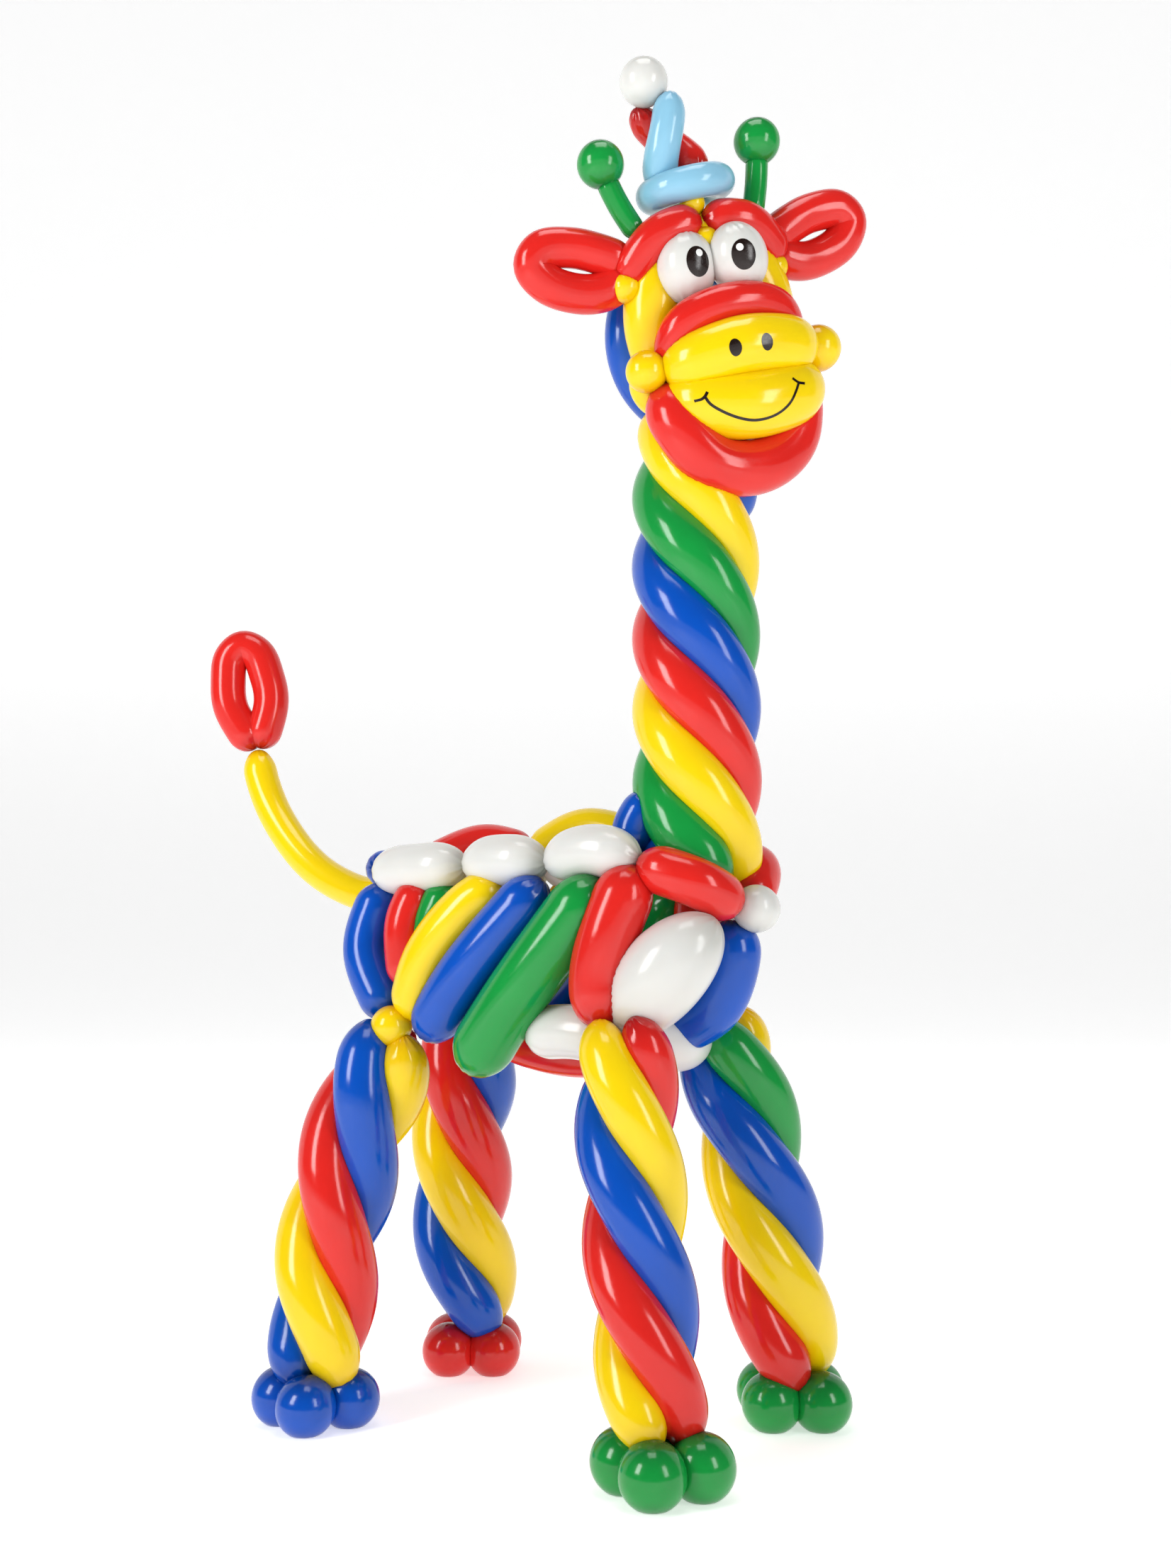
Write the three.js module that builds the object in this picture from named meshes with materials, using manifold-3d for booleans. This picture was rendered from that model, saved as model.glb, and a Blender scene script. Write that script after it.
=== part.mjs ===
// A balloon giraffe: a standing figure about 2.15 m tall, twisted from long latex modelling balloons.
// Millimetres, +Z up, +X towards the nose and chest, +Y towards the giraffe's own left side.
import * as THREE from 'three';
import { mergeVertices } from 'three/addons/utils/BufferGeometryUtils.js';
import Module from 'manifold-3d';

const wasm = await Module();
wasm.setup();

// Balloon radii: the thick balloons are 75 mm across, the thin ones 50 mm
const THICK = 38;
const THIN = 25;
const KNOT = 6;
const CLEARANCE = 0.4;
const SMOOTHING = 0.15;

// Stance: where the four feet stand, and the balls they are made of
const STANCE_LENGTH = 640;
const STANCE_WIDTH = 420;
const FOOT_BALL = 48;
const FOOT_SPREAD = 56;

// Legs: three balloons twisted together, from the feet up to the hips and shoulders
const LEG_RADIUS = 88;
const LEG_SLIM_ANKLE = 0.1;
const LEG_SLIM_HIP = 0.16;
const LEG_BOTTOM = 60;
const LEG_TOP = 650;
const HIP_X = -262;
const SHOULDER_X = 222;
const LEG_TOP_WIDTH = 290;
const COLOUR_CHANGE = 0.5;

// Body: a cage of balloons between the rails of the back and the belly
const RAIL_Z = 890;
const RAIL_REAR = -288;
const RAIL_TWIST_1 = -99;
const RAIL_TWIST_2 = 61;
const RAIL_FRONT = 231;
const RAIL_Y = 115;
const FLANK_Y = 162;
const BELLY_Z = 618;
const CHEST_X = 369;
const CHEST_Z = 816;
const CHEST_BALL = 37;
const SPINE_Z = 910;
const WAIST_DROP = 30;

// Neck: four balloons twisted together, upright
const NECK_X = 267;
const NECK_RADIUS = 102;
const NECK_TURN_LENGTH = 464;
const NECK_PHASE = 71;
const NECK_SLIM_TOP = 0.14;
const NECK_CHANGE = 0.76;
const NECK_BOTTOM = 846;
const NECK_TOP = 1625;

// Head: its place and how it is turned, nodded and tilted, in degrees
const HEAD_PLACE = [296, -15, 1773];
const HEAD_TURN = -41;
const HEAD_NOD = 15;
const HEAD_TILT = 15;
const FACE_RADIUS = 97;
const EYE_WIDTH = 94;
const EYE_HEIGHT = 110;
const EYE_SPACING = 79;
const EYE_Z = 68;
const EAR_REACH = 301;
const EAR_RADIUS = 31;
const MUZZLE_WIDTH = 220;
const HORN_BALL = 37;
const HORN_STEM = 18;

// Hat: a ring for a brim, a cone of two twisted balloons and a ball
const BRIM_Z = 191;
const BRIM_RADIUS = 54;
const HAT_RADIUS = 56;
const HAT_BALL = 39;
const HAT_LEAN = 2;
const HAT_TURN_LENGTH = 280;
const HAT_PHASE = 250;
const HAT_TIP_BACK = 3;
const HAT_TOP = [0, -25, 140];

// Tail: a long thin balloon with a folded loop at its end
const TAIL_TIP = [-681, 0, 1132];
const TAIL_RADIUS = 31;
const TUFT_HEIGHT = 232;
const TUFT_WIDTH = 143;
const TUFT_RADIUS = 33;
const TUFT_TURN = 33;
const TUFT_LEAN = 9;

const COLOURS = {
  yellow: 0xf5d800,
  red: 0xe2222b,
  blue: 0x0055c0,
  skyBlue: 0x7fbce6,
  green: 0x1e9a3c,
  white: 0xf1f0ee,
};

const RIGHT = -1;
const LEFT = 1;
const sideName = (side) => (side === RIGHT ? 'right' : 'left');
const radians = THREE.MathUtils.degToRad;
const vector = (place) => new THREE.Vector3(...place);

// The figure and the groups that its head and its tail's tuft are built in
const giraffe = new THREE.Group();
const body = new THREE.Group();
const head = new THREE.Group();
const hat = new THREE.Group();
const tuft = new THREE.Group();
giraffe.add(body, head, tuft);
head.add(hat);
head.position.set(...HEAD_PLACE);
head.rotation.set(radians(HEAD_TILT), radians(HEAD_NOD), radians(HEAD_TURN), 'ZYX');
hat.position.set(0, 0, BRIM_Z);
hat.rotation.set(radians(HAT_LEAN), radians(-HAT_TIP_BACK), 0);
tuft.position.set(...TAIL_TIP);
tuft.rotation.set(0, radians(-TUFT_LEAN), radians(TUFT_TURN), 'ZYX');
giraffe.updateMatrixWorld(true);

// A smooth line through a few places
function line(places) {
  const points = places.map(vector);
  if (points.length === 2) {
    return new THREE.LineCurve3(points[0], points[1]);
  }
  return new THREE.CatmullRomCurve3(points, false, 'centripetal');
}

// A closed skin of rings: place(column, ring) gives each point, and the two end rings are single points.
// Columns from the one named by turned on have their diagonals the other way round.
function skin(ringCount, columns, place, turned = columns) {
  const profile = [];
  for (let ring = 0; ring < ringCount; ring++) {
    const isEnd = ring === 0 || ring === ringCount - 1;
    profile.push(new THREE.Vector2(isEnd ? 0 : 1, ring));
  }
  const geometry = new THREE.LatheGeometry(profile, columns);
  const position = geometry.attributes.position;
  for (let n = 0; n < position.count; n++) {
    const column = Math.floor(n / ringCount) % columns;
    const point = place(column, n % ringCount);
    position.setXYZ(n, point.x, point.y, point.z);
  }
  turnDiagonals(geometry, ringCount, columns, turned);
  geometry.deleteAttribute('normal');
  geometry.deleteAttribute('uv');
  return withoutSlivers(mergeVertices(geometry, 1e-3));
}

function turnDiagonals(geometry, ringCount, columns, first) {
  const index = geometry.index.array;
  for (let column = first; column < columns; column++) {
    for (let ring = 0; ring < ringCount - 1; ring++) {
      const a = ring + column * ringCount;
      const b = a + ringCount;
      const quad = (column * (ringCount - 1) + ring) * 6;
      index.set([a, b, b + 1, a, b + 1, a + 1], quad);
    }
  }
}

function withoutSlivers(geometry) {
  const index = geometry.index.array;
  const kept = [];
  for (let n = 0; n < index.length; n += 3) {
    const [a, b, c] = index.slice(n, n + 3);
    if (a !== b && b !== c && c !== a) {
      kept.push(a, b, c);
    }
  }
  geometry.setIndex(kept);
  return geometry;
}

// The directions across a line at each of its stations, turning no more than the line does
function framesAlong(curve, shares) {
  let across = null;
  return shares.map((share) => {
    const tangent = curve.getTangentAt(share);
    if (across === null) {
      const least = Math.abs(tangent.z) < 0.7 ? [0, 0, 1] : [1, 0, 0];
      across = vector(least);
    }
    across = across.clone().addScaledVector(tangent, -across.dot(tangent)).normalize();
    return { centre: curve.getPointAt(share), across, up: tangent.clone().cross(across) };
  });
}

// Where a bubble's rings go: distance along it and radius. Both ends are quarter ellipses.
function bubbleRings(length, radius, endLength, { steps = 2, middle = 1, startKnot = 0, endKnot = 0 }) {
  const rings = [];
  for (let step = 0; step <= steps; step++) {
    const angle = (step / steps) * Math.PI / 2;
    const width = Math.max(radius * Math.sin(angle), startKnot);
    rings.push([endLength * (1 - Math.cos(angle)), width]);
  }
  for (let n = 1; n <= middle; n++) {
    rings.push([endLength + (length - 2 * endLength) * n / (middle + 1), radius]);
  }
  const last = length > 2 * endLength + 1 ? steps : steps - 1;
  for (let step = last; step >= 0; step--) {
    const angle = (step / steps) * Math.PI / 2;
    const width = Math.max(radius * Math.sin(angle), endKnot);
    rings.push([length - endLength * (1 - Math.cos(angle)), width]);
  }
  return rings;
}

// A balloon twisted off at both ends. Several lines in a row make a chain of bubbles of one balloon.
function bubble(lines, radii, { sides = 7, end = 1, ...options } = {}) {
  const curves = (Array.isArray(lines[0][0]) ? lines : [lines]).map(line);
  const radiusOf = (n) => (Array.isArray(radii) ? radii[n] : radii);
  return (swell) => {
    const stations = [];
    curves.forEach((curve, n) => {
      const length = curve.getLength();
      const radius = radiusOf(n);
      const endLength = Math.min(radius * end, length / 2);
      const startKnot = n > 0 ? KNOT : 0;
      const endKnot = n < curves.length - 1 ? KNOT : 0;
      const middle = length > 2 * endLength + 1 ? options.middle ?? 1 : 0;
      const rings = bubbleRings(length, radius, endLength, { ...options, middle, startKnot, endKnot });
      const frames = framesAlong(curve, rings.map(([distance]) => Math.min(1, distance / length)));
      frames.forEach((frame, k) => stations.push({ ...frame, width: rings[k][1] }));
      if (n < curves.length - 1) {
        stations.pop();
      }
    });
    keepFramesTurningTogether(stations);
    const last = stations.length - 1;
    return skin(stations.length, sides, (column, ring) => {
      const station = stations[ring];
      const forward = station.across.clone().cross(station.up);
      const isEnd = ring === 0 || ring === last;
      if (isEnd) {
        return station.centre.clone().addScaledVector(forward, ring === 0 ? -swell : swell);
      }
      const angle = (column / sides) * 2 * Math.PI;
      const reach = station.width + swell * 1.2;
      return station.centre.clone()
        .addScaledVector(station.across, reach * Math.cos(angle))
        .addScaledVector(station.up, reach * Math.sin(angle));
    });
  };
}

// Carries one direction across from ring to ring through the knots of a chain
function keepFramesTurningTogether(stations) {
  for (let n = 1; n < stations.length; n++) {
    const forward = stations[n].across.clone().cross(stations[n].up);
    const carried = stations[n - 1].across.clone();
    carried.addScaledVector(forward, -carried.dot(forward)).normalize();
    stations[n].across = carried;
    stations[n].up = forward.clone().cross(carried);
  }
}

function ball(place, radius, sides = 8) {
  return (swell) => {
    const geometry = new THREE.SphereGeometry(radius + swell * 1.2, sides, Math.round(sides * 0.6));
    geometry.rotateX(Math.PI / 2);
    geometry.translate(...place);
    geometry.deleteAttribute('normal');
    geometry.deleteAttribute('uv');
    return withoutSlivers(mergeVertices(geometry, 1e-3));
  };
}

// A foot's ball, with the small flat spot that it stands on
function footBall(x, y) {
  const sideCount = 7;
  const bandCount = 6;
  const flatAngle = Math.PI / bandCount;
  const height = FOOT_BALL * Math.cos(flatAngle);
  return (swell) => {
    const geometry = new THREE.SphereGeometry(FOOT_BALL + swell * 1.2, sideCount, bandCount);
    geometry.rotateX(Math.PI / 2);
    const position = geometry.attributes.position;
    for (let n = 0; n < position.count; n++) {
      position.setZ(n, Math.max(position.getZ(n), -height));
    }
    geometry.translate(x, y, height);
    geometry.deleteAttribute('normal');
    geometry.deleteAttribute('uv');
    return withoutSlivers(mergeVertices(geometry, 1e-3));
  };
}

// A closed ring of balloon: its middle line is an ellipse in the plane across the face
function ring(place, halfWidth, halfHeight, radius, sides, segments, lying = false) {
  return (swell) => {
    const geometry = new THREE.TorusGeometry(1, 0.5, sides, segments);
    const position = geometry.attributes.position;
    for (let n = 0; n < position.count; n++) {
      const around = Math.floor(n % (segments + 1)) / segments * 2 * Math.PI;
      const across = Math.floor(n / (segments + 1)) / sides * 2 * Math.PI;
      const reach = (radius + swell * 1.2) * Math.cos(across);
      const depth = (radius + swell * 1.2) * Math.sin(across);
      const a = (halfWidth + reach) * Math.cos(around);
      const b = (halfHeight + reach) * Math.sin(around);
      const point = lying ? [-b, a, depth] : [depth, a, b];
      position.setXYZ(n, point[0] + place[0], point[1] + place[1], point[2] + place[2]);
    }
    geometry.deleteAttribute('normal');
    geometry.deleteAttribute('uv');
    return withoutSlivers(mergeVertices(geometry, 1e-3));
  };
}

// One balloon of a twisted rope. Its section is a rounded wedge that shares the rope with the others.
function strand(rope, number, { from = 0, to = 1, startLength = 70, endLength = 70 } = {}) {
  const { curve, count, radius, turnLength, phase, handed = -1, step = 64, groove = 0.5 } = rope;
  const share = 2 * Math.PI / count;
  const rimCount = 4;
  return (swell) => {
    const total = curve.getLength();
    const start = from * total;
    const length = (to - from) * total;
    const middle = Math.ceil((length - startLength - endLength) / step);
    const distances = [];
    for (const angle of [0, 0.5, 1]) {
      distances.push(startLength * (1 - Math.cos(angle * Math.PI / 2)));
    }
    for (let n = 1; n < middle; n++) {
      distances.push(startLength + (length - startLength - endLength) * n / middle);
    }
    for (const angle of [1, 0.5, 0]) {
      distances.push(length - endLength * (1 - Math.cos(angle * Math.PI / 2)));
    }
    const shares = distances.map((distance) => (start + distance) / total);
    const frames = framesAlong(curve, shares.map((value) => Math.min(1, Math.max(0, value))));
    const gap = (CLEARANCE * 0.7 - swell) / Math.sin(share / 2);
    return skin(distances.length, rimCount + 2, (column, k) => {
      const { centre, across, up } = frames[k];
      const height = start + distances[k];
      const middleAngle = phase + number * share + handed * 2 * Math.PI * height / turnLength;
      const fromEnd = Math.min(distances[k] / startLength, (length - distances[k]) / endLength, 1);
      const fullness = Math.sqrt(Math.max(0, 1 - (1 - fromEnd) ** 2));
      const out = radius * rope.taper(height / total) + swell * (1 + 1 / Math.sin(share / 2));
      const core = out * 0.5;
      let along = gap;
      let sideways = 0;
      if (column > 0) {
        const turn = ((column - 1) / rimCount - 0.5) * Math.PI;
        const angle = Math.sin(turn) * share / 2;
        const reach = out * (groove + (1 - groove) * Math.cos(turn));
        along = gap + reach * Math.cos(angle);
        sideways = reach * Math.sin(angle);
      }
      along = core + (along - core) * fullness;
      sideways *= fullness;
      const cos = Math.cos(middleAngle);
      const sin = Math.sin(middleAngle);
      return centre.clone()
        .addScaledVector(across, along * cos - sideways * sin)
        .addScaledVector(up, along * sin + sideways * cos);
    }, handed < 0 ? 1 : rimCount + 1);
  };
}

// The balloons, in the order in which one pushes into the next
const balloons = [];

function balloon(name, colour, frame, forms, rope = null) {
  balloons.push({ name, colour, frame, forms, rope });
}

// A rope's width along its length: drawn in towards its bottom and its top
function slimmer(atBottom, atTop) {
  return (share) => {
    const low = Math.max(0, 1 - share / 0.3);
    const high = Math.max(0, (share - 0.75) / 0.25);
    return 1 - atBottom * low ** 2 - atTop * high ** 2;
  };
}

// Hat: a light blue balloon is the brim and one half of the cone, a red one the other half
function addHat() {
  const coneRope = {
    curve: line([[0, -5, 10], HAT_TOP]),
    count: 2,
    radius: HAT_RADIUS,
    turnLength: HAT_TURN_LENGTH,
    phase: radians(HAT_PHASE),
    handed: 1,
    step: 40,
    groove: 0.45,
    taper: (share) => 1 - 0.3 * share,
  };
  const ends = { startLength: 30, endLength: 30 };
  balloon('hat_ball_white', 'white', hat, [ball([0, HAT_TOP[1] - 6, HAT_TOP[2] + HAT_BALL - 6], HAT_BALL)]);
  balloon('hat_light_blue', 'skyBlue', hat, [
    ring([0, 0, 0], BRIM_RADIUS, BRIM_RADIUS, THIN + 1, 7, 12, true),
    strand(coneRope, 0, ends),
  ], 'hat');
  balloon('hat_cone_red', 'red', hat, [strand(coneRope, 1, ends)], 'hat');
}

// Face: eyes, lips and the red balloons above, below and beside them
function addFace() {
  const eyes = [RIGHT, LEFT].map((side) => {
    const y = side * EYE_SPACING / 2 - 2;
    const lean = side * 6;
    const reach = EYE_HEIGHT / 2;
    const out = 72 + side * 6;
    return bubble([[out, y + lean, EYE_Z - reach], [out, y - lean, EYE_Z + reach]], EYE_WIDTH / 2,
      { sides: 8, end: 2, steps: 3 });
  });
  const half = MUZZLE_WIDTH / 2;
  balloon('muzzle_yellow', 'yellow', head, [
    bubble([
      [64, 8 - half, -84], [112, 8 - half * 0.7, -76], [134, 5, -66], [112, 8 + half * 0.7, -76],
      [64, 8 + half, -84],
    ], 47, { sides: 8, end: 2, middle: 3 }),
    bubble([
      [60, 6 - half, -112], [108, 8 - half * 0.7, -138], [132, 0, -153], [106, 6 + half * 0.7, -146],
      [58, 6 + half, -130],
    ], 54, { sides: 8, end: 2, middle: 3 }),
  ]);
  balloon('eyes_white', 'white', head, eyes);
  balloon('brow_and_ears_red', 'red', head, [
    bubble([
      [[14, -136, 62], [48, -72, 124], [46, 0, 136]],
      [[46, 0, 136], [48, 72, 124], [14, 136, 62]],
    ], 31, { middle: 1 }),
    ...[RIGHT, LEFT].flatMap(ear),
  ]);
  balloon('face_yellow', 'yellow', head, [
    ring([18, 0, -14], FACE_RADIUS, FACE_RADIUS + 24, THICK + 8, 7, 12),
    ball([80, -140, -77], 33, 8),
    ball([80, 149, -88], 37, 8),
    bubble([[20, -92, -96], [74, -138, -86]], 26, { sides: 6, steps: 1 }),
    bubble([[34, -124, -66], [36, -126, -104], [38, -98, -140]], 30, { sides: 6, middle: 1 }),
    bubble([[20, 92, -96], [72, 148, -96]], 26, { sides: 6, steps: 1 }),
    ball([28, -134, 56], 24, 8),
    ball([28, 118, 50], 22, 8),
    ball([58, -3, 101], 24),
    ball([34, -5, 164], 20),
    ball([14, -5, 156], 14, 6),
  ]);
  balloon('muzzle_top_red', 'red', head, [
    bubble([[66, -104, -80], [100, -74, -18], [112, 6, 2], [98, 78, -16], [62, 112, -74]], 31,
      { end: 2, middle: 3 }),
  ]);
  balloon('chin_red', 'red', head, [
    bubble([
      [56, -112, -104], [80, -108, -160], [90, -68, -226], [94, -12, -249], [92, 42, -244], [84, 82, -212],
      [56, 116, -112],
    ], 44, { end: 1.6, middle: 4 }),
  ]);
  balloon('head_back_blue', 'blue', head, [ring([-58, 0, -38], 118, 126, THICK, 6, 12)]);
}

// An ear: a loop folded from one balloon, its two arms side by side and together at the outer fold
function ear(side) {
  const lift = side === RIGHT ? 10 : 0;
  return [1, -1].map((up) => bubble([
    [10, side * 112, 84 + up * 4],
    [8, side * (EAR_REACH - 133), 84 + up * 28 + lift * 0.2],
    [4, side * (EAR_REACH - 95), 90 + up * 35 + lift * 0.5],
    [2, side * (EAR_REACH - 45), 98 + up * 27 + lift * 0.8],
    [0, side * EAR_REACH, 104 + up * 6 + lift],
  ], EAR_RADIUS, { sides: 6, middle: 3 }));
}

function addHorns() {
  for (const side of [RIGHT, LEFT]) {
    balloon(`horn_${sideName(side)}_green`, 'green', head, [
      ball([0, side * 132, 246], HORN_BALL),
      bubble([[20, side * 96, 128], [8, side * 116, 180], [0, side * 130, 230]], HORN_STEM, { sides: 7 }),
    ]);
  }
}

// Feet: four balls of one balloon, twisted together round the leg's end
function foot(end, side, turn) {
  const x = end * STANCE_LENGTH / 2;
  const y = side * STANCE_WIDTH / 2;
  const forms = [];
  for (let n = 0; n < 4; n++) {
    const angle = radians(turn) + n * Math.PI / 2;
    forms.push(footBall(x + FOOT_SPREAD * Math.cos(angle), y + FOOT_SPREAD * Math.sin(angle)));
  }
  return forms;
}

const FRONT = 1;
const REAR = -1;
const LEGS = [
  { end: FRONT, side: RIGHT, foot: 'green', footTurn: 16, strands: ['blue', 'yellow', 'red'], phase: 174, turn: 484,
    width: 0.91, shift: -4, bow: -8, stops: { blue: 0.9 } },
  { end: REAR, side: RIGHT, foot: 'blue', footTurn: 26, strands: ['blue', 'yellow', 'red'], phase: 259, turn: 515,
    width: 1, shift: 47, bow: -37, top: 626 },
  { end: FRONT, side: LEFT, foot: 'green', footTurn: -12, strands: ['blue', 'red', 'yellow'], phase: 202, turn: 523,
    bow: 14, starts: { blue: 0.14 }, above: { red: 'green' } },
  { end: REAR, side: LEFT, foot: 'red', footTurn: -12, strands: ['blue', 'yellow', 'red'], phase: 358, turn: 509,
    width: 1.04, shift: -12, bow: -25, starts: { red: 0.14 } },
];

function addLeg({ end, side, foot: footColour, footTurn, strands, phase, turn, width = 1, shift = 0, bow = 0,
  top = LEG_TOP, above = {}, starts = {}, stops = {} }) {
  const name = `${end === FRONT ? 'front' : 'rear'}_${sideName(side)}`;
  const bottom = [end * (STANCE_LENGTH / 2 - 4), side * STANCE_WIDTH / 2];
  const hip = [(end === FRONT ? SHOULDER_X : HIP_X) + shift, side * LEG_TOP_WIDTH / 2];
  const curve = line([0, 1 / 3, 2 / 3, 1].map((share) => [
    bottom[0] + (hip[0] - bottom[0]) * share + (share % 1 === 0 ? 0 : bow),
    bottom[1] + (hip[1] - bottom[1]) * share,
    LEG_BOTTOM + (top - LEG_BOTTOM) * share,
  ]));
  const rope = {
    curve,
    count: 3,
    radius: LEG_RADIUS * width,
    turnLength: turn,
    phase: radians(phase),
    groove: 0.5,
    taper: slimmer(LEG_SLIM_ANKLE, LEG_SLIM_HIP),
  };
  balloon(`foot_${name}_${footColour}`, footColour, body, foot(end, side, footTurn));
  strands.forEach((colour, n) => {
    const from = starts[colour] ?? 0;
    const to = colour in above ? COLOUR_CHANGE : stops[colour] ?? 1;
    const isWhole = from === 0 && to === 1;
    const ropeName = isWhole ? `leg_${name}` : null;
    balloon(`leg_${name}_${colour}`, colour, body, [strand(rope, n, { from, to })], ropeName);
    if (colour in above) {
      const upper = above[colour];
      balloon(`leg_${name}_${upper}`, upper, body, [strand(rope, n, { from: COLOUR_CHANGE })], ropeName);
    }
  });
}

function addNeck() {
  const rope = {
    curve: line([[NECK_X, 0, NECK_BOTTOM], [NECK_X, 0, NECK_TOP]]),
    count: 4,
    radius: NECK_RADIUS,
    turnLength: NECK_TURN_LENGTH,
    phase: radians(NECK_PHASE),
    groove: 0.62,
    taper: slimmer(0, NECK_SLIM_TOP),
  };
  const changeZ = NECK_BOTTOM + (NECK_TOP - NECK_BOTTOM) * (NECK_CHANGE + 0.1);
  balloon('neck_yellow', 'yellow', body, [strand(rope, 0)], 'neck');
  balloon('neck_green', 'green', body, [strand(rope, -1)], 'neck');
  balloon('neck_blue', 'blue', body, [
    strand(rope, -2),
    strand(rope, -3, { from: NECK_CHANGE }),
    ball([NECK_X, 0, changeZ], 26),
    bubble([
      [NECK_X - 69, -60, NECK_BOTTOM + 48],
      [NECK_X - 79, -64, NECK_BOTTOM + 92],
      [NECK_X - 47, -52, NECK_BOTTOM + 152],
    ], 34),
  ]);
  balloon('neck_red', 'red', body, [strand(rope, -3, { to: NECK_CHANGE })]);
}

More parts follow.
